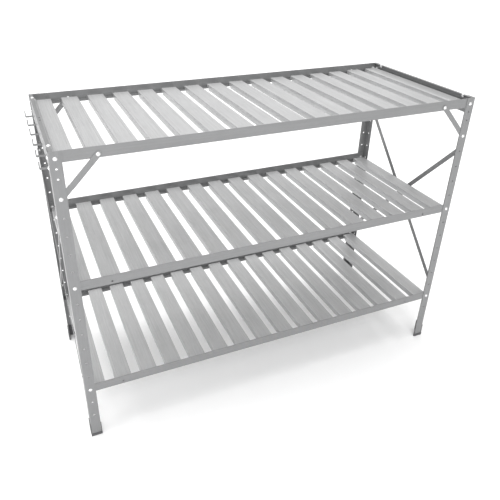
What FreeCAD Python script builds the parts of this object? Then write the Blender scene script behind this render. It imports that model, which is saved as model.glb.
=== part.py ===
"""Three-shelf potting bench of folded sheet steel, bolted together at its four angle legs.

Units are millimetres, +Z is up, the bench faces -Y and Z = 0 is the floor.  X = 0 and Y = 0 are
the middle of everything that is built, hooks and bolt heads included.
"""
import FreeCAD
import Part
import math
import os
import Sketcher

os.makedirs("parts", exist_ok=True)
doc = FreeCAD.newDocument("PottingBench")
V = FreeCAD.Vector

# --- driving dimensions -------------------------------------------------------------------------
SIZES = {
    "bench_wide": 1215.0,       # left outer face to right outer face of the legs
    "bench_deep": 484.0,        # front face to rear face of the legs
    "bench_high": 900.0,        # floor to the top edge of the top rails
    "sheet_thick": 1.5,         # legs, rails, end rails, braces and straps
    "slat_thick": 1.0,
    "bend_outer": 2.2,          # outside radius of a fold
    "bend_inner": 0.8,          # inside radius of a fold
    "leg_flange": 29.0,
    "leg_lift": 3.0,            # floor to the end of the leg, which is the cap's base
    "hole_wide": 5.4,
    "hole_inset": 14.7,         # outer face of the leg to its line of holes
    "hole_first": 17.25,        # top of the leg to the first hole, and top of a rail to its bolt
    "hole_step": 25.0,
    "shelf_drop": 350.0,        # one shelf to the next
    "rail_web": 28.5,
    "rail_flange": 19.5,
    "rail_end_gap": 3.3,        # outer face of the bench to the end of a long rail
    "brace_rail_inset": 109.0,  # outer face of the bench to the brace's hole in the rail
    "brace_rail_drop": 19.15,
    "brace_wide": 14.5,
    "brace_jog": 36.0,          # leg bolt to the step that takes the brace behind the leg
    "strap_wide": 14.5,
    "strap_top_hole": 6.0,      # holes of the leg, counted from the top one as 0
    "strap_low_hole": 26.0,
    "slat_wide": 47.5,
    "slat_step": 76.5,
    "slat_first": 11.5,         # outer face of the bench to the edge of the first slat
    "slat_drop": 15.5,          # top edge of the rail to the top of a slat
    "slat_side": 18.0,
    "slat_end_gap": 12.0,
    "slat_notch": 14.0,         # length of the shallow end that sits on the rail
    "bead_inset": 6.5,
    "bead_wide": 3.0,
    "bead_rise": 0.5,
    "end_rail_web": 51.5,
    "end_rail_gap": 3.3,
    "end_rail_lip": 9.5,        # outer face of the end rail to the edge of its top flange
    "lip_bolt_across": 7.7,     # outer face of the bench to the holes in that flange
    "lip_bolt_inset": 41.5,     # front or rear face of the bench to a bolt in that flange
    "lip_hole_gap": 22.0,       # between the two free holes in the middle of it
    "hook_wide": 8.0,
    "hook_thick": 2.5,
    "hook_reach": 20.0,         # outer face of the bench to the outer face of the hook's tip
    "hook_tip": 15.0,
    "hook_shank": 22.0,
    "hook_step": 80.0,
    "head_wide": 10.0,
    "head_high": 3.0,
    "shank_wide": 5.0,
    "shank_long": 8.2,
    "nut_wide": 8.0,
    "nut_thick": 4.0,
    "cap_wall": 1.6,
    "cap_tall": 45.0,
    "cap_low": 9.0,
}
SLATS_PER_SHELF = 16
HOOKS = 6

sheet = doc.addObject("Spreadsheet::Sheet", "Sizes")
for row, (alias, number) in enumerate(SIZES.items(), start=1):
    sheet.set(f"A{row}", alias)
    sheet.set(f"B{row}", str(number))
    sheet.setAlias(f"B{row}", alias)
doc.recompute()


class Size:
    """A length with both its number and the sheet expression that gives it."""

    def __init__(self, number, text):
        self.number = float(number)
        self.text = text

    @staticmethod
    def of(other):
        """Return a Size for a plain number, or the Size itself."""
        return other if isinstance(other, Size) else Size(other, repr(float(other)))

    def join(self, other, sign, number):
        return Size(number, f"({self.text} {sign} {other.text})")

    def __add__(self, other):
        other = Size.of(other)
        return self.join(other, "+", self.number + other.number)

    def __sub__(self, other):
        other = Size.of(other)
        return self.join(other, "-", self.number - other.number)

    def __mul__(self, other):
        other = Size.of(other)
        return self.join(other, "*", self.number * other.number)

    def __truediv__(self, other):
        other = Size.of(other)
        return self.join(other, "/", self.number / other.number)

    def __radd__(self, other):
        return Size.of(other) + self

    def __rsub__(self, other):
        return Size.of(other) - self

    def __rmul__(self, other):
        return Size.of(other) * self

    def __neg__(self):
        return Size.of(0) - self


class Sheet:
    """Every size of the sheet as an attribute."""

    def __getattr__(self, alias):
        return Size(SIZES[alias], f"Sizes.{alias}")


S = Sheet()
ZERO = Size.of(0)
# The hooks stick out further on the left than the bolt heads on the outer straps do on the right.
LEFT = ZERO - S.bench_wide / 2 + (S.hook_reach - S.sheet_thick - S.head_high) / 2
RIGHT = LEFT + S.bench_wide
FRONT = ZERO - S.bench_deep / 2
REAR = FRONT + S.bench_deep
TOP = S.bench_high
nodes = []


# --- building helpers ---------------------------------------------------------------------------
def plane_of(body, role):
    return next(f for f in body.Origin.OriginFeatures if f.Role == role)


def new_body(label):
    """Return an empty body that may hold more than one solid."""
    body = doc.addObject("PartDesign::Body", label)
    body.Label = label
    if hasattr(body, "AllowCompound"):
        body.AllowCompound = True
    return body


def new_sketch(body, role, name):
    sk = body.newObject("Sketcher::SketchObject", f"{body.Name}_{name}")
    sk.AttachmentSupport = (plane_of(body, role), [""])
    sk.MapMode = "FlatFace"
    return sk


def tie(sk, kind, geo, pos, size):
    """Hold one coordinate of a point at a size from the sheet, measured from the origin."""
    number = sk.addConstraint(Sketcher.Constraint(kind, -1, 1, geo, pos, size.number))
    sk.setExpression(f"Constraints[{number}]", size.text)


def draw_outline(sk, corners):
    """Draw a closed outline whose corners are pairs of sizes."""
    corners = [(Size.of(a), Size.of(b)) for a, b in corners]
    start = sk.GeometryCount
    count = len(corners)
    for i in range(count):
        a, b = corners[i], corners[(i + 1) % count]
        sk.addGeometry(Part.LineSegment(V(a[0].number, a[1].number, 0),
                                        V(b[0].number, b[1].number, 0)), False)
    for i in range(count):
        sk.addConstraint(Sketcher.Constraint("Coincident", start + i, 2,
                                             start + (i + 1) % count, 1))
    for i, (a, b) in enumerate(corners):
        tie(sk, "DistanceX", start + i, 1, a)
        tie(sk, "DistanceY", start + i, 1, b)


def draw_circle(sk, a, b, wide):
    """Draw a circle of a given diameter at a point given by two sizes."""
    a, b, wide = Size.of(a), Size.of(b), Size.of(wide)
    geo = sk.addGeometry(Part.Circle(V(a.number, b.number, 0), V(0, 0, 1), wide.number / 2), False)
    tie(sk, "DistanceX", geo, 3, a)
    tie(sk, "DistanceY", geo, 3, b)
    number = sk.addConstraint(Sketcher.Constraint("Diameter", geo, wide.number))
    sk.setExpression(f"Constraints[{number}]", wide.text)


def rectangle(left, low, right, high):
    return [(left, low), (right, low), (right, high), (left, high)]


def pad(body, sk, length, name, both=False, reverse=False):
    feature = body.newObject("PartDesign::Pad", f"{body.Name}_{name}")
    feature.Profile = sk
    feature.Length = length.number
    feature.setExpression("Length", length.text)
    feature.Midplane = both
    feature.Reversed = reverse
    body.Tip = feature
    return feature


def pocket(body, sk, name, length=None, both=True, reverse=False):
    """Cut a sketch out of the body, right through unless a length is given."""
    feature = body.newObject("PartDesign::Pocket", f"{body.Name}_{name}")
    feature.Profile = sk
    if length is None:
        feature.Type = "ThroughAll"
    else:
        feature.Length = length.number
        feature.setExpression("Length", length.text)
    feature.Midplane = both
    feature.Reversed = reverse
    body.Tip = feature
    return feature


def row_of(body, feature, role_axis, step, count, name, reverse=False):
    """Repeat a feature along one axis of the body's origin."""
    pattern = body.newObject("PartDesign::LinearPattern", f"{body.Name}_{name}")
    pattern.Originals = [feature]
    pattern.Direction = (plane_of(body, role_axis), [""])
    span = step * (count - 1)
    pattern.Length = span.number
    pattern.setExpression("Length", span.text)
    pattern.Occurrences = count
    pattern.Reversed = reverse
    body.Tip = pattern
    return pattern


def round_edges(body, radius, name, chosen):
    """Round every edge of the tip that `chosen` accepts, given its two end points."""
    doc.recompute()
    base = body.Tip
    names = []
    for i, edge in enumerate(base.Shape.Edges, start=1):
        if len(edge.Vertexes) == 2 and chosen(edge.Vertexes[0].Point, edge.Vertexes[1].Point):
            names.append(f"Edge{i}")
    if not names:
        raise RuntimeError(f"{body.Label} {name}: no edge found to round")
    feature = body.newObject("PartDesign::Fillet", f"{body.Name}_{name}")
    feature.Base = (base, names)
    feature.Radius = radius.number
    feature.setExpression("Radius", radius.text)
    body.Tip = feature
    return feature


def near(a, b):
    return abs(a - b) < 0.01


def place(obj, x, y, z, axis=V(0, 0, 1), angle=0.0):
    """Put a sub-part in the bench, with its position bound to the sheet."""
    x, y, z = Size.of(x), Size.of(y), Size.of(z)
    angle = Size.of(angle)
    obj.Placement = FreeCAD.Placement(V(x.number, y.number, z.number),
                                      FreeCAD.Rotation(axis, angle.number))
    for part, size in zip("xyz", (x, y, z)):
        obj.setExpression(f".Placement.Base.{part}", size.text)
    if angle.text != "0.0":
        obj.setExpression(".Placement.Rotation.Angle", angle.text)


def add_node(obj):
    nodes.append(obj)
    return obj


# --- legs and foot caps -------------------------------------------------------------------------
SIDES = {"left": (LEFT, 1), "right": (RIGHT, -1)}
FACES = {"front": (FRONT, 1), "rear": (REAR, -1)}
LEG_LONG = S.bench_high - S.leg_lift


def angle_outline(sx, sy, flange, thick):
    """Corners of an angle section with its outer corner at the origin."""
    return [(ZERO, ZERO), (flange * sx, ZERO), (flange * sx, thick * sy),
            (thick * sx, thick * sy), (thick * sx, flange * sy), (ZERO, flange * sy)]


def make_leg(face, side):
    """Angle leg with rows of holes in both flanges, its outer corner at the body's origin."""
    sx, sy = SIDES[side][1], FACES[face][1]
    body = new_body(f"leg_{face}_{side}")
    sk = new_sketch(body, "XY_Plane", "section")
    draw_outline(sk, angle_outline(sx, sy, S.leg_flange, S.sheet_thick))
    pad(body, sk, LEG_LONG, "length")
    t = SIZES["sheet_thick"]
    round_edges(body, S.bend_outer, "outer_fold",
                lambda p, q: near(p.x, 0) and near(p.y, 0) and near(q.x, 0) and near(q.y, 0))
    round_edges(body, S.bend_inner, "inner_fold",
                lambda p, q: near(p.x, t * sx) and near(p.y, t * sy)
                and near(q.x, t * sx) and near(q.y, t * sy))
    top_hole = LEG_LONG - S.hole_first
    for plane, sign, name in (("XZ_Plane", sx, "wide"), ("YZ_Plane", sy, "deep")):
        across = S.hole_inset * sign
        sk = new_sketch(body, plane, f"{name}_hole")
        draw_circle(sk, across, top_hole, S.hole_wide)
        cut = pocket(body, sk, f"{name}_hole_cut")
        row_of(body, cut, "Z_Axis", S.hole_step * 2, 17, f"{name}_holes", reverse=True)
        sk = new_sketch(body, plane, f"{name}_extra")
        draw_circle(sk, across, top_hole - S.hole_step, S.hole_wide)
        pocket(body, sk, f"{name}_extra_cut")
    place(body, SIDES[side][0], FACES[face][0], S.leg_lift)
    return add_node(body)


def make_foot(face, side):
    """Plastic cap around the end of a leg, with a tall inner wall and a low outer wall."""
    sx, sy = SIDES[side][1], FACES[face][1]
    body = new_body(f"foot_{face}_{side}")
    wall, thick = S.cap_wall, S.sheet_thick
    reach = S.leg_flange + wall
    base = new_sketch(body, "XY_Plane", "base_outline")
    outline = [(-wall * sx, -wall * sy), (reach * sx, -wall * sy), (reach * sx, (thick + wall) * sy),
               ((thick + wall) * sx, (thick + wall) * sy), ((thick + wall) * sx, reach * sy),
               (-wall * sx, reach * sy)]
    draw_outline(base, outline)
    pad(body, base, S.cap_low, "low_wall")
    tall = new_sketch(body, "XY_Plane", "tall_outline")
    outline = [(thick * sx, thick * sy), (reach * sx, thick * sy), (reach * sx, (thick + wall) * sy),
               ((thick + wall) * sx, (thick + wall) * sy), ((thick + wall) * sx, reach * sy),
               (-wall * sx, reach * sy), (-wall * sx, ZERO), (ZERO, ZERO),
               (ZERO, S.leg_flange * sy), (thick * sx, S.leg_flange * sy)]
    draw_outline(tall, outline)
    pad(body, tall, S.cap_tall, "tall_wall")
    slot = new_sketch(body, "XY_Plane", "slot_outline")
    draw_outline(slot, angle_outline(sx, sy, S.leg_flange, thick))
    slot.AttachmentOffset = FreeCAD.Placement(V(0, 0, SIZES["leg_lift"]), FreeCAD.Rotation())
    slot.setExpression(".AttachmentOffset.Base.z", S.leg_lift.text)
    pocket(body, slot, "slot", length=S.cap_tall, both=False, reverse=True)
    place(body, SIDES[side][0], FACES[face][0], ZERO)
    return add_node(body)


# --- rails --------------------------------------------------------------------------------------
RAIL_LONG = S.bench_wide - S.rail_end_gap * 2
LEVELS = ("top", "middle", "lower")


def level_top(level):
    """Height of the top edge of the rails at one level."""
    return TOP - S.shelf_drop * LEVELS.index(level)


def make_rail(level, face):
    """Folded long rail: web outside, flange turned in along the bottom."""
    sy = FACES[face][1]
    body = new_body(f"rail_{level}_{face}")
    t = S.sheet_thick
    sk = new_sketch(body, "YZ_Plane", "section")
    draw_outline(sk, [(ZERO, ZERO), (ZERO, -S.rail_web), (S.rail_flange * sy, -S.rail_web),
                      (S.rail_flange * sy, t - S.rail_web), (t * sy, t - S.rail_web), (t * sy, ZERO)])
    pad(body, sk, RAIL_LONG, "length")
    web, thick = SIZES["rail_web"], SIZES["sheet_thick"]
    round_edges(body, S.bend_outer, "outer_fold",
                lambda p, q: near(p.y, 0) and near(q.y, 0) and near(p.z, -web) and near(q.z, -web))
    round_edges(body, S.bend_inner, "inner_fold",
                lambda p, q: near(p.y, thick * sy) and near(q.y, thick * sy)
                and near(p.z, thick - web) and near(q.z, thick - web))
    holes = [(S.hole_inset, S.hole_first)]
    if level == "top" or face == "front":
        holes.append((S.brace_rail_inset, S.brace_rail_drop))
    for i, (inset, drop) in enumerate(holes):
        sk = new_sketch(body, "XZ_Plane", f"holes_{i}")
        draw_circle(sk, inset - S.rail_end_gap, -drop, S.hole_wide)
        draw_circle(sk, S.bench_wide - inset - S.rail_end_gap, -drop, S.hole_wide)
        pocket(body, sk, f"holes_cut_{i}")
    place(body, LEFT + S.rail_end_gap, FACES[face][0] + S.sheet_thick * sy, level_top(level))
    return add_node(body)


def make_end_rail(side):
    """Deep plate that closes one end of the top, with a narrow flange turned in along its top."""
    sx = SIDES[side][1]
    body = new_body(f"end_rail_{side}")
    gap, t = S.end_rail_gap, S.sheet_thick
    sk = new_sketch(body, "YZ_Plane", "plate")
    draw_outline(sk, rectangle(gap, -S.end_rail_web, S.bench_deep - gap, ZERO))
    for across in (S.hole_inset, S.bench_deep - S.hole_inset):
        draw_circle(sk, across, -S.hole_first, S.hole_wide)
        draw_circle(sk, across, -S.hole_first - S.hole_step, S.hole_wide)
    pad(body, sk, t, "plate_thick", reverse=(sx < 0))
    sk = new_sketch(body, "XZ_Plane", "lip")
    draw_outline(sk, rectangle(ZERO, -t, S.end_rail_lip * sx, ZERO))
    sk.AttachmentOffset = FreeCAD.Placement(V(0, 0, -gap.number), FreeCAD.Rotation())
    sk.setExpression(".AttachmentOffset.Base.z", (-gap).text)
    pad(body, sk, S.bench_deep - gap * 2, "lip_long", reverse=True)
    thick = SIZES["sheet_thick"]
    round_edges(body, S.bend_outer, "outer_fold",
                lambda p, q: near(p.x, 0) and near(q.x, 0) and near(p.z, 0) and near(q.z, 0))
    round_edges(body, S.bend_inner, "inner_fold",
                lambda p, q: near(p.x, thick * sx) and near(q.x, thick * sx)
                and near(p.z, -thick) and near(q.z, -thick))
    sk = new_sketch(body, "XY_Plane", "lip_holes")
    middle = S.bench_deep / 2
    for deep in (S.lip_bolt_inset, middle - S.lip_hole_gap / 2, middle + S.lip_hole_gap / 2,
                 S.bench_deep - S.lip_bolt_inset):
        draw_circle(sk, (S.lip_bolt_across - t) * sx, deep, S.hole_wide)
    pocket(body, sk, "lip_holes_cut")
    place(body, SIDES[side][0] + t * sx, FRONT, TOP)
    return add_node(body)


# --- slats --------------------------------------------------------------------------------------
SLAT_LONG = S.bench_deep - S.slat_end_gap * 2
SLAT_END_DEEP = S.rail_web - S.sheet_thick - S.slat_drop


def make_slats(level, first):
    """Two neighbouring slats: folded channels with a bead along each side, stepped ends."""
    body = new_body(f"{level}_slats_{first:02d}_{first + 1:02d}")
    wide, thick, side = S.slat_wide, S.slat_thick, S.slat_side
    sk = new_sketch(body, "XZ_Plane", "section")
    left_bead, right_bead = S.bead_inset, wide - S.bead_inset
    half, rise = S.bead_wide / 2, S.bead_rise
    section = [(ZERO, -side), (thick, -side), (thick, -thick),
               (left_bead - half, -thick), (left_bead, rise - thick), (left_bead + half, -thick),
               (right_bead - half, -thick), (right_bead, rise - thick), (right_bead + half, -thick),
               (wide - thick, -thick), (wide - thick, -side), (wide, -side), (wide, ZERO),
               (right_bead + half, ZERO), (right_bead, rise), (right_bead - half, ZERO),
               (left_bead + half, ZERO), (left_bead, rise), (left_bead - half, ZERO), (ZERO, ZERO)]
    draw_outline(sk, section)
    first_pad = pad(body, sk, SLAT_LONG, "length", reverse=True)
    full = SIZES["slat_wide"]
    round_edges(body, S.slat_thick * 1.4, "folds",
                lambda p, q: near(p.z, 0) and near(q.z, 0) and near(p.x, q.x)
                and (near(p.x, 0) or near(p.x, full)))
    folds = body.Tip
    sk = new_sketch(body, "YZ_Plane", "ends")
    deep = -SLAT_END_DEEP
    low = -S.slat_side - 1
    draw_outline(sk, rectangle(Size.of(-1), low, S.slat_notch, deep))
    draw_outline(sk, rectangle(SLAT_LONG - S.slat_notch, low, SLAT_LONG + 1, deep))
    notch = pocket(body, sk, "ends_cut")
    pattern = body.newObject("PartDesign::LinearPattern", f"{body.Name}_pair")
    pattern.Originals = [first_pad, folds, notch]
    pattern.Direction = (plane_of(body, "X_Axis"), [""])
    pattern.Length = SIZES["slat_step"]
    pattern.setExpression("Length", S.slat_step.text)
    pattern.Occurrences = 2
    body.Tip = pattern
    x = LEFT + S.slat_first + S.slat_step * (first - 1)
    place(body, x, FRONT + S.slat_end_gap, level_top(level) - S.slat_drop)
    return add_node(body)


# --- braces and straps --------------------------------------------------------------------------
def draw_slot(sk, length, wide):
    """Draw a strap outline with round ends whose centres are the origin and (length, 0)."""
    half = wide / 2
    top = sk.addGeometry(Part.LineSegment(V(0, half.number, 0), V(length.number, half.number, 0)))
    low = sk.addGeometry(Part.LineSegment(V(length.number, -half.number, 0), V(0, -half.number, 0)))
    right = sk.addGeometry(Part.ArcOfCircle(
        Part.Circle(V(length.number, 0, 0), V(0, 0, 1), half.number), -math.pi / 2, math.pi / 2))
    left = sk.addGeometry(Part.ArcOfCircle(
        Part.Circle(V(0, 0, 0), V(0, 0, 1), half.number), math.pi / 2, 3 * math.pi / 2))
    sk.addConstraint(Sketcher.Constraint("Coincident", top, 2, right, 2))
    sk.addConstraint(Sketcher.Constraint("Coincident", right, 1, low, 1))
    sk.addConstraint(Sketcher.Constraint("Coincident", low, 2, left, 2))
    sk.addConstraint(Sketcher.Constraint("Coincident", left, 1, top, 1))
    for geo, across in ((left, ZERO), (right, length)):
        tie(sk, "DistanceX", geo, 3, across)
    for geo, end, up in ((top, 1, half), (top, 2, half), (low, 1, -half), (low, 2, -half)):
        tie(sk, "DistanceY", geo, end, up)
    tie(sk, "DistanceX", top, 1, ZERO)
    tie(sk, "DistanceX", top, 2, length)
    tie(sk, "DistanceX", low, 1, length)
    tie(sk, "DistanceX", low, 2, ZERO)


def hypot(a, b):
    return Size(math.hypot(a.number, b.number), f"sqrt({a.text}^2 + {b.text}^2)")


def atan(rise, run):
    return Size(math.degrees(math.atan2(rise.number, run.number)), f"atan({rise.text} / {run.text})")


HALF_TURN = Size(180, "180 deg")
BRACE_RUN = S.brace_rail_inset - S.hole_inset
BRACE_FALL = S.hole_first + S.hole_step * 4 - S.brace_rail_drop
STRAP_RUN = S.bench_deep - S.hole_inset * 2
STRAP_FALL = S.hole_step * (S.strap_low_hole - S.strap_top_hole)


def make_brace(face, side):
    """Corner brace: flat on the rail, stepped back by one sheet to pass behind the leg."""
    sx, sy = SIDES[side][1], FACES[face][1]
    body = new_body(f"corner_brace_{face}_{side}")
    long = hypot(BRACE_RUN, BRACE_FALL)
    half, thick = S.brace_wide / 2, S.sheet_thick
    full = new_sketch(body, "XZ_Plane", "outline")
    draw_slot(full, long, S.brace_wide)
    pad(body, full, thick * 2, "blank", reverse=(sy > 0))
    over = S.brace_wide
    step = S.brace_jog
    outer = new_sketch(body, "XZ_Plane", "outer_face")
    draw_outline(outer, rectangle(-over, -over, step, over))
    pocket(body, outer, "outer_cut", length=thick, both=False, reverse=(sy < 0))
    inner = new_sketch(body, "XZ_Plane", "inner_face")
    draw_outline(inner, rectangle(step + 2.5, -over, long + over, over))
    inner.AttachmentOffset = FreeCAD.Placement(V(0, 0, -thick.number * sy), FreeCAD.Rotation())
    inner.setExpression(".AttachmentOffset.Base.z", (ZERO - thick * sy).text)
    pocket(body, inner, "inner_cut", length=thick, both=False, reverse=(sy < 0))
    sk = new_sketch(body, "XZ_Plane", "holes")
    draw_circle(sk, ZERO, ZERO, S.hole_wide)
    draw_circle(sk, long, ZERO, S.hole_wide)
    pocket(body, sk, "holes_cut")
    # The brace is drawn along +X from the leg bolt and then leaned up towards the rail.
    angle = atan(BRACE_FALL, BRACE_RUN)
    turn = angle if sx > 0 else HALF_TURN - angle
    place(body, SIDES[side][0] + S.hole_inset * sx, FACES[face][0],
          TOP - S.hole_first - S.hole_step * 4, axis=V(0, -1, 0), angle=turn)
    return add_node(body)


def make_strap(side, falls_to):
    """End strap, one of a crossing pair: inside the leg flanges, or outside them."""
    sx = SIDES[side][1]
    body = new_body(f"end_strap_{side}_falling_{falls_to}")
    long = hypot(STRAP_RUN, STRAP_FALL)
    sk = new_sketch(body, "YZ_Plane", "outline")
    draw_slot(sk, long, S.strap_wide)
    draw_circle(sk, ZERO, ZERO, S.hole_wide)
    draw_circle(sk, long, ZERO, S.hole_wide)
    pad(body, sk, S.sheet_thick, "thick", reverse=(sx < 0))
    inside = falls_to == "rear"
    x = SIDES[side][0] + (S.sheet_thick * sx if inside else -S.sheet_thick * sx)
    angle = atan(STRAP_FALL, STRAP_RUN)
    low = TOP - S.hole_first - S.hole_step * S.strap_low_hole
    if inside:
        place(body, x, REAR - S.hole_inset, low, axis=V(1, 0, 0), angle=HALF_TURN - angle)
    else:
        place(body, x, FRONT + S.hole_inset, low, axis=V(1, 0, 0), angle=angle)
    return add_node(body)


# --- hooks --------------------------------------------------------------------------------------
def make_hook(index):
    """Flat strip bent under the left end rail and up again outside it."""
    body = new_body(f"hook_{index + 1}")
    thick = S.hook_thick
    inner = S.sheet_thick * 2 + thick
    outer = -S.hook_reach
    sk = new_sketch(body, "XZ_Plane", "outline")
    draw_outline(sk, [(outer, -thick), (inner, -thick), (inner, S.hook_shank),
                      (inner - thick, S.hook_shank), (inner - thick, ZERO), (outer + thick, ZERO),
                      (outer + thick, S.hook_tip), (outer, S.hook_tip)])
    pad(body, sk, S.hook_wide, "width", both=True)
    reach, strip = SIZES["hook_reach"], SIZES["hook_thick"]
    deep = 2 * SIZES["sheet_thick"] + strip
    round_edges(body, S.hook_thick * 1.5, "outer_bends",
                lambda p, q: near(p.z, -strip) and near(q.z, -strip) and near(p.x, q.x)
                and (near(p.x, -reach) or near(p.x, deep)))
    round_edges(body, S.hook_thick * 0.5, "inner_bends",
                lambda p, q: near(p.z, 0) and near(q.z, 0) and near(p.x, q.x)
                and (near(p.x, strip - reach)))
    offset = (index - (HOOKS - 1) / 2)
    y = FRONT + S.bench_deep / 2 + S.hook_step * offset
    place(body, LEFT, y, TOP - S.end_rail_web)
    return add_node(body)


# --- bolts and nuts -----------------------------------------------------------------------------
def held(alias):
    """Read one size back from the sheet, in millimetres."""
    value = getattr(sheet, alias)
    return float(getattr(value, "Value", value))


def bolt_shape():
    """Domed bolt along -Z with the underside of its head at the origin."""
    wide, high, long = held("head_wide"), held("head_high"), held("shank_long")
    radius = (wide ** 2 / 4 + high ** 2) / (2 * high)
    dome = Part.makeSphere(radius, V(0, 0, high - radius))
    dome = dome.common(Part.makeCylinder(wide, high + 1, V(0, 0, 0)))
    shank = Part.makeCylinder(held("shank_wide") / 2, long, V(0, 0, -long))
    return dome.fuse(shank).removeSplitter()


def nut_shape():
    """Hexagon nut that sits on the XY plane and goes up."""
    thick = held("nut_thick")
    corner = held("nut_wide") / math.sqrt(3)
    turns = [math.radians(60 * i) for i in range(7)]
    points = [V(corner * math.cos(turn), corner * math.sin(turn), 0) for turn in turns]
    block = Part.Face(Part.makePolygon(points)).extrude(V(0, 0, thick))
    return block.cut(Part.makeCylinder(held("shank_wide") / 2, thick * 3, V(0, 0, -thick)))


def set_along(shape, point, way):
    """Turn a shape's +Z to a direction and move its origin to a point."""
    copy = shape.copy()
    copy.Placement = FreeCAD.Placement(V(*point), FreeCAD.Rotation(V(0, 0, 1), V(*way)))
    return copy


def add_group(label, shapes):
    """Store a group of identical fasteners as one sub-part of separate solids."""
    obj = doc.addObject("Part::Feature", label)
    obj.Label = label
    obj.Shape = Part.makeCompound(shapes)
    obj.Placement = FreeCAD.Placement()
    return add_node(obj)


def fasteners(label, joints):
    """Make one node of bolts and one of nuts for joints (point on the outer face, way out, grip)."""
    bolt, nut = bolt_shape(), nut_shape()
    bolts, nuts = [], []
    for point, way, grip in joints:
        bolts.append(set_along(bolt, point, way))
        inside = [p - w * grip for p, w in zip(point, way)]
        nuts.append(set_along(nut, inside, [-w for w in way]))
    add_group(f"{label}_bolts", bolts)
    add_group(f"{label}_nuts", nuts)


def make_fasteners():
    """Bolts of the long rails, of the corner braces and of the two ends."""
    step, first, inset = held("hole_step"), held("hole_first"), held("hole_inset")
    thick = held("sheet_thick")
    top_hole, low_hole = held("strap_top_hole"), held("strap_low_hole")
    rail, brace, end = [], [], []
    for face, (y, sy) in FACES.items():
        for side, (x, sx) in SIDES.items():
            out_y, out_x = (0, -sy, 0), (-sx, 0, 0)
            across = x.number + inset * sx
            for level in LEVELS:
                rail.append(((across, y.number, level_top(level).number - first), out_y, 2 * thick))
            brace.append(((across, y.number, TOP.number - first - 4 * step), out_y, 2 * thick))
            across = x.number + held("brace_rail_inset") * sx
            brace.append(((across, y.number, TOP.number - held("brace_rail_drop")), out_y, 2 * thick))
            deep = y.number + inset * sy
            for hole in (0, 1, top_hole, low_hole):
                # The strap that falls to the rear is inside at front top and rear bottom.
                falls_rear = (hole == top_hole) == (face == "front")
                outside = hole > 1 and not falls_rear
                out_face = x.number - (thick * sx if outside else 0)
                end.append(((out_face, deep, TOP.number - first - hole * step), out_x, 2 * thick))
            across = x.number + held("lip_bolt_across") * sx
            end.append(((across, y.number + held("lip_bolt_inset") * sy, TOP.number), (0, 0, 1), thick))
    fasteners("rail", rail)
    fasteners("brace", brace)
    fasteners("end", end)


# --- the whole bench ----------------------------------------------------------------------------
def build():
    for face in FACES:
        for side in SIDES:
            make_leg(face, side)
            make_foot(face, side)
            make_brace(face, side)
        for level in LEVELS:
            make_rail(level, face)
    for side in SIDES:
        make_end_rail(side)
        for falls_to in FACES:
            make_strap(side, falls_to)
    for level in LEVELS:
        for first in range(1, SLATS_PER_SHELF, 2):
            make_slats(level, first)
    for index in range(HOOKS):
        make_hook(index)
    make_fasteners()


def check():
    """Stop if any object failed to build."""
    doc.recompute()
    for obj in doc.Objects:
        if "Invalid" in obj.State or "Error" in obj.State:
            raise RuntimeError(f"{obj.Label}: {obj.State}")
    for obj in nodes:
        shape = obj.Shape
        if shape.isNull() or not shape.isValid() or not shape.Solids:
            raise RuntimeError(f"{obj.Label}: bad shape")


build()
check()
for node in nodes:
    node.Shape.exportStep(f"parts/{node.Label}.step")
box = FreeCAD.BoundBox()
for node in nodes:
    box.add(node.Shape.BoundBox)
    print(f"{node.Label:34s} solids {len(node.Shape.Solids)} volume {node.Shape.Volume:10.1f}")
print(len(nodes), "nodes", box)
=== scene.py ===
"""Looks of the three-shelf potting bench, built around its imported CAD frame.

The CAD nodes keep their shapes and get galvanised-steel, zinc and plastic finishes.  Every
distance is in metres in the frame's own axes: +X along the bench, +Y to the rear, +Z up.
"""

import logging
import math
from dataclasses import dataclass, field
from enum import Enum

import bpy
from mathutils import Matrix, Vector

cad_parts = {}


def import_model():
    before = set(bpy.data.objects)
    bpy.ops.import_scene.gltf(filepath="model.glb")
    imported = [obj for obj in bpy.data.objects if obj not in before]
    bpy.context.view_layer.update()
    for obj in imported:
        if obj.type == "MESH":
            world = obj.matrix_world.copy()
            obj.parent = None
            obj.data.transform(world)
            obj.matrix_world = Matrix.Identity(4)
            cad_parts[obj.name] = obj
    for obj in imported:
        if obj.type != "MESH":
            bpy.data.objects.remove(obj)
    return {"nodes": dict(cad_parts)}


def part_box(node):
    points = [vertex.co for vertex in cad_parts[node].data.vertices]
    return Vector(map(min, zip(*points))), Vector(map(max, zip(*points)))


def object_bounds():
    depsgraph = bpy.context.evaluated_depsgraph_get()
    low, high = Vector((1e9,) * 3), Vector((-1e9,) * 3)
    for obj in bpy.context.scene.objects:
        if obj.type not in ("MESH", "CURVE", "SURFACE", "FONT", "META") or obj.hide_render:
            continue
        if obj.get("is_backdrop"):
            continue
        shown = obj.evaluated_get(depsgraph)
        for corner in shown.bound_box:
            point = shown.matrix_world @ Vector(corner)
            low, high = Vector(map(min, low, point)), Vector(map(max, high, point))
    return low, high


LOG = logging.getLogger("potting_bench")
Colour = tuple[float, float, float]
Triple = tuple[float, float, float]
MM = 0.001


class Run(Enum):
    """The way the rolling lines of the sheet steel run, as a scale for each axis of a node."""

    ALONG_X = (0.02, 1.0, 1.0)
    ALONG_Y = (1.0, 0.02, 1.0)
    ALONG_Z = (1.0, 1.0, 0.02)


def opaque(colour: Colour) -> tuple[float, float, float, float]:
    """Return a colour with full alpha, as sockets hold it."""
    return (*colour, 1.0)


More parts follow.
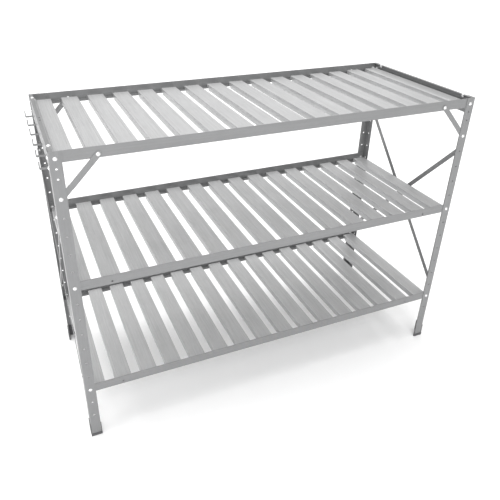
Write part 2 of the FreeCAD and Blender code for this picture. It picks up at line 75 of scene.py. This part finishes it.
def new_group(name: str, inputs: dict[str, tuple[str, float | Colour]],
              outputs: dict[str, str]) -> tuple[bpy.types.NodeTree, bpy.types.Node, bpy.types.Node]:
    """Make an empty shader node group with named sockets.

    Args:
        name: name of the group.
        inputs: socket type and default value for each input name.
        outputs: socket type for each output name.

    Returns:
        The group's tree, its input node and its output node.
    """
    tree = bpy.data.node_groups.new(name, "ShaderNodeTree")
    for label, (kind, value) in inputs.items():
        socket = tree.interface.new_socket(label, in_out="INPUT", socket_type=kind)
        if kind != "NodeSocketVector":
            socket.default_value = opaque(value) if kind == "NodeSocketColor" else value
    for label, kind in outputs.items():
        tree.interface.new_socket(label, in_out="OUTPUT", socket_type=kind)
    return tree, tree.nodes.new("NodeGroupInput"), tree.nodes.new("NodeGroupOutput")


def placed(tree: bpy.types.NodeTree, group: bpy.types.NodeTree) -> bpy.types.Node:
    """Place a node group in a tree and return its node."""
    node = tree.nodes.new("ShaderNodeGroup")
    node.node_tree = group
    return node


def new_material(name: str) -> tuple[bpy.types.Material, bpy.types.Node]:
    """Make a material and return it with its Principled shader."""
    material = bpy.data.materials.new(name)
    material.use_nodes = True
    return material, material.node_tree.nodes["Principled BSDF"]


def math_node(tree: bpy.types.NodeTree, operation: str, a: bpy.types.NodeSocket,
              b: bpy.types.NodeSocket | float) -> bpy.types.NodeSocket:
    """Add a math node and return its output.

    Args:
        tree: tree that gets the node.
        operation: Blender's name for the operation.
        a: first value.
        b: second value, a socket or a number.

    Returns:
        The node's output socket.
    """
    node = tree.nodes.new("ShaderNodeMath")
    node.operation = operation
    tree.links.new(a, node.inputs[0])
    if isinstance(b, (int, float)):
        node.inputs[1].default_value = b
    else:
        tree.links.new(b, node.inputs[1])
    return node.outputs[0]


def vector_node(tree: bpy.types.NodeTree, operation: str, a: bpy.types.NodeSocket,
                b: bpy.types.NodeSocket) -> bpy.types.Node:
    """Add a vector math node fed by two vectors.

    Args:
        tree: tree that gets the node.
        operation: Blender's name for the operation.
        a: first vector.
        b: second vector.

    Returns:
        The node.
    """
    node = tree.nodes.new("ShaderNodeVectorMath")
    node.operation = operation
    tree.links.new(a, node.inputs[0])
    tree.links.new(b, node.inputs[1])
    return node


def ramp(tree: bpy.types.NodeTree, value: bpy.types.NodeSocket, low: float, high: float,
         to_low: float = 0.0, to_high: float = 1.0) -> bpy.types.NodeSocket:
    """Map a value from one range to another, clamped.

    Args:
        tree: tree that gets the node.
        value: socket to map.
        low: value that gives to_low.
        high: value that gives to_high.
        to_low: result at low.
        to_high: result at high.

    Returns:
        The mapped socket.
    """
    node = tree.nodes.new("ShaderNodeMapRange")
    for socket, number in zip(("From Min", "From Max", "To Min", "To Max"),
                              (low, high, to_low, to_high)):
        node.inputs[socket].default_value = number
    tree.links.new(value, node.inputs["Value"])
    return node.outputs["Result"]


def mix_colour(tree: bpy.types.NodeTree, mask: bpy.types.NodeSocket, a: bpy.types.NodeSocket,
               b: bpy.types.NodeSocket) -> bpy.types.NodeSocket:
    """Blend two colours by a mask.

    Args:
        tree: tree that gets the node.
        mask: 0 gives a, 1 gives b.
        a: first colour.
        b: second colour.

    Returns:
        The blended colour's socket.
    """
    node = tree.nodes.new("ShaderNodeMix")
    node.data_type = "RGBA"
    tree.links.new(mask, node.inputs["Factor"])
    tree.links.new(a, node.inputs[6])
    tree.links.new(b, node.inputs[7])
    return node.outputs[2]


def noise(tree: bpy.types.NodeTree, place: bpy.types.NodeSocket, scale: float, detail: float = 3.0,
          rough: float = 0.5) -> bpy.types.NodeSocket:
    """Add a noise texture and return its value.

    Args:
        tree: tree that gets the node.
        place: coordinates.
        scale: noise scale, per metre.
        detail: octaves.
        rough: weight of the finer octaves.

    Returns:
        The noise value's socket.
    """
    node = tree.nodes.new("ShaderNodeTexNoise")
    node.inputs["Scale"].default_value = scale
    node.inputs["Detail"].default_value = detail
    node.inputs["Roughness"].default_value = rough
    tree.links.new(place, node.inputs["Vector"])
    return node.outputs["Fac"]


def add_bump(tree: bpy.types.NodeTree, shader: bpy.types.Node, height: bpy.types.NodeSocket,
             strength: float, distance: float) -> None:
    """Let a height disturb a shader's normal.

    Args:
        tree: tree that gets the node.
        shader: Principled shader.
        height: height socket.
        strength: strength of the bump.
        distance: how far the full height stands out, in metres.
    """
    bump = tree.nodes.new("ShaderNodeBump")
    bump.inputs["Strength"].default_value = strength
    bump.inputs["Distance"].default_value = distance
    tree.links.new(height, bump.inputs["Height"])
    tree.links.new(bump.outputs["Normal"], shader.inputs["Normal"])


@dataclass
class EffectLibrary:
    """Shader node groups that the finishes share, with the scale of each pattern per metre."""

    fine_lines: float = 1100.0
    broad_lines: float = 260.0
    clouds: float = 9.0
    crystals: float = 150.0
    worn_spots: float = 70.0
    dust_spots: float = 14.0
    cloud_share: float = 0.22
    crystal_share: float = 0.07
    edge_radius: float = 0.8 * MM
    edge_samples: int = 4

    def __post_init__(self) -> None:
        """Build each group once."""
        self.rolled = self.rolled_sheet()
        self.wear = self.worn_edges()
        self.dust = self.fine_dust()

    def rolled_sheet(self) -> bpy.types.NodeTree:
        """Zinc sheet: soft cloudy patches, a faint crystal pattern and fine rolling lines."""
        tree, start, end = new_group(
            "rolled_zinc_sheet",
            {"Vector": ("NodeSocketVector", 0.0), "Stretch": ("NodeSocketVector", 0.0),
             "Light": ("NodeSocketColor", (0.7, 0.7, 0.7)), "Dark": ("NodeSocketColor", (0.5, 0.5, 0.5)),
             "Lines": ("NodeSocketFloat", 0.3), "Roughness": ("NodeSocketFloat", 0.4)},
            {"Color": "NodeSocketColor", "Roughness": "NodeSocketFloat", "Height": "NodeSocketFloat"})
        place = start.outputs["Vector"]
        long = vector_node(tree, "MULTIPLY", place, start.outputs["Stretch"]).outputs[0]
        fine = noise(tree, long, self.fine_lines, 2.0)
        broad = noise(tree, long, self.broad_lines)
        cloud = noise(tree, place, self.clouds, 4.0)
        crystal = tree.nodes.new("ShaderNodeTexVoronoi")
        crystal.inputs["Scale"].default_value = self.crystals
        tree.links.new(place, crystal.inputs["Vector"])
        grain = tree.nodes.new("ShaderNodeSeparateColor")
        tree.links.new(crystal.outputs["Color"], grain.inputs[0])
        lines = math_node(tree, "MULTIPLY", ramp(tree, fine, 0.35, 0.65), start.outputs["Lines"])
        bands = math_node(tree, "MULTIPLY", ramp(tree, broad, 0.35, 0.65), start.outputs["Lines"])
        patches = math_node(tree, "MULTIPLY", ramp(tree, cloud, 0.3, 0.7), self.cloud_share)
        flecks = math_node(tree, "MULTIPLY", grain.outputs[0], self.crystal_share)
        total = math_node(tree, "ADD", math_node(tree, "ADD", lines, bands),
                          math_node(tree, "ADD", patches, flecks))
        tree.links.new(mix_colour(tree, total, start.outputs["Light"], start.outputs["Dark"]),
                       end.inputs["Color"])
        spread = ramp(tree, total, 0.0, 1.0, -0.05, 0.07)
        tree.links.new(math_node(tree, "ADD", spread, start.outputs["Roughness"]),
                       end.inputs["Roughness"])
        height = math_node(tree, "ADD", math_node(tree, "MULTIPLY", fine, 0.5),
                           math_node(tree, "MULTIPLY", broad, 0.5))
        tree.links.new(height, end.inputs["Height"])
        return tree

    @staticmethod
    def covering(name: str, over: str, tint: Colour,
                 amount: float) -> tuple[bpy.types.NodeTree, bpy.types.Node, bpy.types.Node]:
        """Make an empty group that lays a second colour over a surface in places.

        Args:
            name: name of the group.
            over: name of the input for the second colour.
            tint: default second colour.
            amount: default strength.

        Returns:
            The group's tree, its input node and its output node.
        """
        return new_group(
            name,
            {"Vector": ("NodeSocketVector", 0.0), "Normal": ("NodeSocketVector", 0.0),
             "Color": ("NodeSocketColor", (0.5, 0.5, 0.5)), over: ("NodeSocketColor", tint),
             "Roughness": ("NodeSocketFloat", 0.4), "Amount": ("NodeSocketFloat", amount)},
            {"Color": "NodeSocketColor", "Roughness": "NodeSocketFloat"})

    @staticmethod
    def lay_over(tree: bpy.types.NodeTree, start: bpy.types.Node, end: bpy.types.Node, over: str,
                 where: tuple[bpy.types.NodeSocket, bpy.types.NodeSocket], rougher: float) -> None:
        """Blend the second colour in and change the roughness with it.

        Args:
            tree: the group's tree.
            start: its input node.
            end: its output node.
            over: name of the input for the second colour.
            where: two masks, multiplied with each other and the amount.
            rougher: what a full covering adds to the roughness.
        """
        mask = math_node(tree, "MULTIPLY", math_node(tree, "MULTIPLY", *where),
                         start.outputs["Amount"])
        tree.links.new(mix_colour(tree, mask, start.outputs["Color"], start.outputs[over]),
                       end.inputs["Color"])
        change = math_node(tree, "MULTIPLY", mask, rougher)
        tree.links.new(math_node(tree, "ADD", change, start.outputs["Roughness"]),
                       end.inputs["Roughness"])

    def worn_edges(self) -> bpy.types.NodeTree:
        """Brighter zinc in a thin, broken line where handling has rubbed the folds and edges."""
        tree, start, end = self.covering("worn_edges", "Bright", (0.8, 0.8, 0.8), 0.4)
        soft = tree.nodes.new("ShaderNodeBevel")
        soft.samples = self.edge_samples
        soft.inputs["Radius"].default_value = self.edge_radius
        agree = vector_node(tree, "DOT_PRODUCT", soft.outputs["Normal"], start.outputs["Normal"])
        edge = ramp(tree, agree.outputs["Value"], 0.97, 0.80)
        spots = noise(tree, start.outputs["Vector"], self.worn_spots, 4.0, 0.6)
        self.lay_over(tree, start, end, "Bright", (edge, ramp(tree, spots, 0.35, 0.6, 0.3, 1.0)), -0.1)
        return tree

    def fine_dust(self) -> bpy.types.NodeTree:
        """A little dull dust on faces that look up, patchy."""
        tree, start, end = self.covering("fine_dust", "Dust", (0.5, 0.49, 0.47), 0.1)
        parts = tree.nodes.new("ShaderNodeSeparateXYZ")
        tree.links.new(start.outputs["Normal"], parts.inputs[0])
        up = ramp(tree, parts.outputs["Z"], 0.5, 1.0)
        spots = noise(tree, start.outputs["Vector"], self.dust_spots, 5.0, 0.6)
        self.lay_over(tree, start, end, "Dust", (up, ramp(tree, spots, 0.4, 0.75)), 0.35)
        return tree


@dataclass(frozen=True)
class SheetSteel:
    """A galvanised sheet-steel finish with rolling lines, worn edges and a little dust."""

    name: str
    light: Colour
    dark: Colour
    roughness: float
    lines: float
    run: Run
    bump: float
    metallic: float = 0.25
    wear: float = 0.5
    dust: float = 0.1
    edge_gain: float = 1.25
    relief: float = 0.2 * MM

    def make(self, effects: EffectLibrary) -> bpy.types.Material:
        """Build the material.

        Args:
            effects: shared node groups.

        Returns:
            The new material.
        """
        material, shader = new_material(self.name)
        tree = material.node_tree
        shader.inputs["Metallic"].default_value = self.metallic
        where = tree.nodes.new("ShaderNodeTexCoord").outputs["Object"]
        facing = tree.nodes.new("ShaderNodeNewGeometry").outputs["Normal"]
        sheet = placed(tree, effects.rolled)
        tree.links.new(where, sheet.inputs["Vector"])
        for socket, value in (("Stretch", self.run.value), ("Light", opaque(self.light)),
                              ("Dark", opaque(self.dark)), ("Lines", self.lines),
                              ("Roughness", self.roughness)):
            sheet.inputs[socket].default_value = value
        worn, dusty = placed(tree, effects.wear), placed(tree, effects.dust)
        bright = tuple(min(1.0, part * self.edge_gain) for part in self.light)
        worn.inputs["Bright"].default_value = opaque(bright)
        worn.inputs["Amount"].default_value = self.wear
        dusty.inputs["Amount"].default_value = self.dust
        for under, over in ((sheet, worn), (worn, dusty)):
            tree.links.new(where, over.inputs["Vector"])
            tree.links.new(facing, over.inputs["Normal"])
            tree.links.new(under.outputs["Color"], over.inputs["Color"])
            tree.links.new(under.outputs["Roughness"], over.inputs["Roughness"])
        tree.links.new(dusty.outputs["Color"], shader.inputs["Base Color"])
        tree.links.new(dusty.outputs["Roughness"], shader.inputs["Roughness"])
        add_bump(tree, shader, sheet.outputs["Height"], self.bump, self.relief)
        return material


@dataclass(frozen=True)
class BrightZinc:
    """Bright plating of the bolts and nuts, even in every direction."""

    name: str
    colour: Colour
    roughness: float
    metallic: float = 0.35
    shade: float = 0.82
    lines: float = 0.2
    bump: float = 0.1
    relief: float = 0.1 * MM

    def make(self, effects: EffectLibrary) -> bpy.types.Material:
        """Build the material.

        Args:
            effects: shared node groups.

        Returns:
            The new material.
        """
        material, shader = new_material(self.name)
        tree = material.node_tree
        shader.inputs["Metallic"].default_value = self.metallic
        plating = placed(tree, effects.rolled)
        tree.links.new(tree.nodes.new("ShaderNodeTexCoord").outputs["Object"], plating.inputs["Vector"])
        dark = tuple(part * self.shade for part in self.colour)
        for socket, value in (("Stretch", (1.0, 1.0, 1.0)), ("Light", opaque(self.colour)),
                              ("Dark", opaque(dark)), ("Lines", self.lines),
                              ("Roughness", self.roughness)):
            plating.inputs[socket].default_value = value
        tree.links.new(plating.outputs["Color"], shader.inputs["Base Color"])
        tree.links.new(plating.outputs["Roughness"], shader.inputs["Roughness"])
        add_bump(tree, shader, plating.outputs["Height"], self.bump, self.relief)
        return material


@dataclass(frozen=True)
class MouldedPlastic:
    """Dark moulded plastic with a fine matte grain and scuffs."""

    name: str
    colour: Colour
    roughness: float
    scuff_gain: float = 1.6
    scuff_spots: float = 120.0
    scuff_most: float = 0.6
    scuff_rougher: float = 0.15
    grain: float = 2600.0
    bump: float = 0.25
    relief: float = 0.15 * MM

    def make(self) -> bpy.types.Material:
        """Build and return the material."""
        material, shader = new_material(self.name)
        tree = material.node_tree
        where = tree.nodes.new("ShaderNodeTexCoord").outputs["Object"]
        scuff = ramp(tree, noise(tree, where, self.scuff_spots, 5.0, 0.6), 0.5, 0.75,
                     0.0, self.scuff_most)
        base, scuffed = tree.nodes.new("ShaderNodeRGB"), tree.nodes.new("ShaderNodeRGB")
        base.outputs[0].default_value = opaque(self.colour)
        scuffed.outputs[0].default_value = opaque(tuple(part * self.scuff_gain for part in self.colour))
        tree.links.new(mix_colour(tree, scuff, base.outputs[0], scuffed.outputs[0]),
                       shader.inputs["Base Color"])
        tree.links.new(ramp(tree, scuff, 0.0, self.scuff_most, self.roughness,
                            self.roughness + self.scuff_rougher), shader.inputs["Roughness"])
        add_bump(tree, shader, noise(tree, where, self.grain, 2.0), self.bump, self.relief)
        return material


def dress(node: bpy.types.Object, material: bpy.types.Material) -> None:
    """Give every material slot of a node one finish, and report the piece."""
    if not node.material_slots:
        node.data.materials.append(material)
    for held in node.material_slots:
        held.material = material
    LOG.info("%s: %s", node.name, material.name)


@dataclass
class Frame:
    """Legs, long rails, end rails, braces, end straps and hooks."""

    effects: EffectLibrary
    light: Colour = (0.255, 0.257, 0.26)
    dark: Colour = (0.195, 0.197, 0.2)
    roughness: float = 0.38
    lines: float = 0.2
    bump: float = 0.05

    def finish(self, run: Run) -> bpy.types.Material:
        """Make the frame's steel with its rolling lines in one direction."""
        return SheetSteel(f"frame_steel_{run.name.lower()}", self.light, self.dark,
                          self.roughness, self.lines, run, self.bump).make(self.effects)

    def build(self, nodes: dict[str, bpy.types.Object]) -> int:
        """Dress the nodes of the frame.

        Args:
            nodes: CAD nodes by name.

        Returns:
            How many nodes were dressed.
        """
        along = {run: self.finish(run) for run in Run}
        count = 0
        for name, node in nodes.items():
            if name.startswith(("leg_", "end_strap_", "corner_brace_")):
                dress(node, along[Run.ALONG_Z])
            elif name.startswith("rail_") and not name.endswith(("bolts", "nuts")):
                dress(node, along[Run.ALONG_X])
            elif name.startswith(("end_rail_", "hook_")):
                dress(node, along[Run.ALONG_Y])
            else:
                continue
            count += 1
        return count


@dataclass
class Shelves:
    """The slats of the three shelves."""

    effects: EffectLibrary
    light: Colour = (0.52, 0.522, 0.525)
    dark: Colour = (0.37, 0.372, 0.375)
    roughness: float = 0.36
    lines: float = 0.34
    bump: float = 0.2

    def build(self, nodes: dict[str, bpy.types.Object]) -> int:
        """Dress the slats and return how many nodes they are."""
        steel = SheetSteel("slat_steel_lengthwise", self.light, self.dark, self.roughness,
                           self.lines, Run.ALONG_Y, self.bump).make(self.effects)
        slats = [node for name, node in nodes.items() if "_slats_" in name]
        for node in slats:
            dress(node, steel)
        return len(slats)


@dataclass
class Fittings:
    """Bolts, nuts and foot caps."""

    effects: EffectLibrary
    plating: Colour = (0.92, 0.92, 0.92)
    plating_roughness: float = 0.25
    plastic: Colour = (0.09, 0.09, 0.094)
    plastic_roughness: float = 0.55

    def build(self, nodes: dict[str, bpy.types.Object]) -> int:
        """Dress the fasteners and the caps and return how many nodes they are."""
        zinc = BrightZinc("bright_zinc", self.plating, self.plating_roughness).make(self.effects)
        caps = MouldedPlastic("cap_plastic", self.plastic, self.plastic_roughness).make()
        count = 0
        for name, node in nodes.items():
            if name.endswith(("bolts", "nuts")):
                dress(node, zinc)
            elif name.startswith("foot_"):
                dress(node, caps)
            else:
                continue
            count += 1
        return count


@dataclass(frozen=True)
class Panel:
    """A square soft light that faces the middle of the bench."""

    name: str
    place: Triple
    power: float
    size: float


@dataclass
class Studio:
    """Floor, lights and camera.  Angles are in degrees, the lens and its sensor in millimetres."""

    bench: tuple[list[float], list[float]]
    floor_wide: float = 60.0
    floor_colour: Colour = (0.97, 0.97, 0.97)
    floor_roughness: float = 0.9
    room: float = 0.56
    overhead: float = 2.3
    overhead_spread: float = 70.0
    overhead_lean: Triple = (-14.0, -10.0, 0.0)
    panels: tuple[Panel, ...] = (Panel("rear_panel", (1.6, 3.6, 2.5), 16.0, 3.6),
                                 Panel("left_panel", (-3.6, -0.4, 0.45), 55.0, 2.0),
                                 Panel("front_panel", (-1.2, -4.0, 3.4), 108.0, 3.0))
    eye: Vector = field(default_factory=lambda: Vector((-0.060, -1.161, 0.442)))
    yaw: float = 23.07
    pitch: float = 28.66
    roll: float = 0.81
    lens: float = 38.81
    sensor: float = 36.0
    shift: tuple[float, float] = (0.0398, -0.0644)
    seen: tuple[float, float] = (0.05, 100.0)

    def floor(self) -> None:
        """Lay a plain pale floor under the bench."""
        bpy.ops.mesh.primitive_plane_add(size=self.floor_wide, location=(0, 0, self.bench[0][2]))
        ground = bpy.context.object
        ground.name = "studio_floor"
        material, shader = new_material("studio_floor_paint")
        shader.inputs["Base Color"].default_value = opaque(self.floor_colour)
        shader.inputs["Roughness"].default_value = self.floor_roughness
        ground.data.materials.append(material)
        ground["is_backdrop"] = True

    def lights(self) -> None:
        """Light the bench softly from above, behind, the left and the front, in a white room."""
        world = bpy.data.worlds.new("studio_room")
        bpy.context.scene.world = world
        world.use_nodes = True
        back = world.node_tree.nodes["Background"]
        back.inputs["Color"].default_value = (1.0, 1.0, 1.0, 1.0)
        back.inputs["Strength"].default_value = self.room
        overhead = bpy.data.lights.new("overhead_light", "SUN")
        overhead.energy = self.overhead
        overhead.angle = math.radians(self.overhead_spread)
        lamp = bpy.data.objects.new("overhead_light", overhead)
        lamp.rotation_euler = [math.radians(angle) for angle in self.overhead_lean]
        bpy.context.collection.objects.link(lamp)
        middle = Vector([(a + b) / 2 for a, b in zip(*self.bench)])
        for panel in self.panels:
            data = bpy.data.lights.new(panel.name, "AREA")
            data.energy = panel.power
            data.size = panel.size
            lamp = bpy.data.objects.new(panel.name, data)
            lamp.location = Vector(panel.place)
            lamp.rotation_euler = (middle - lamp.location).to_track_quat("-Z", "Y").to_euler()
            lamp.visible_camera = False
            bpy.context.collection.objects.link(lamp)

    def camera(self, corner: Vector) -> None:
        """Set up the camera.

        Args:
            corner: top front left corner of the legs.
        """
        data = bpy.data.cameras.new("studio_camera")
        data.lens = self.lens
        data.sensor_width = self.sensor
        data.shift_x, data.shift_y = self.shift
        data.clip_start, data.clip_end = self.seen
        camera = bpy.data.objects.new("studio_camera", data)
        turn = (Matrix.Rotation(math.radians(-self.yaw), 4, "Z")
                @ Matrix.Rotation(math.radians(90.0 - self.pitch), 4, "X")
                @ Matrix.Rotation(math.radians(self.roll), 4, "Z"))
        camera.matrix_world = Matrix.Translation(corner + self.eye) @ turn
        bpy.context.collection.objects.link(camera)
        bpy.context.scene.camera = camera
        bpy.context.scene.view_settings.view_transform = "Standard"


def main() -> None:
    """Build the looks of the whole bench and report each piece."""
    logging.basicConfig(level=logging.INFO, format="%(name)s: %(message)s")
    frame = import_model()
    cad_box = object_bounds()
    nodes = frame["nodes"]
    effects = EffectLibrary()
    for part in (Frame(effects), Shelves(effects), Fittings(effects)):
        LOG.info("%s: %d nodes", type(part).__name__.lower(), part.build(nodes))
    studio = Studio(cad_box)
    studio.floor()
    studio.lights()
    low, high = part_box("leg_front_left")
    studio.camera(Vector((low[0], low[1], high[2])))


if __name__ == "__main__":
    main()
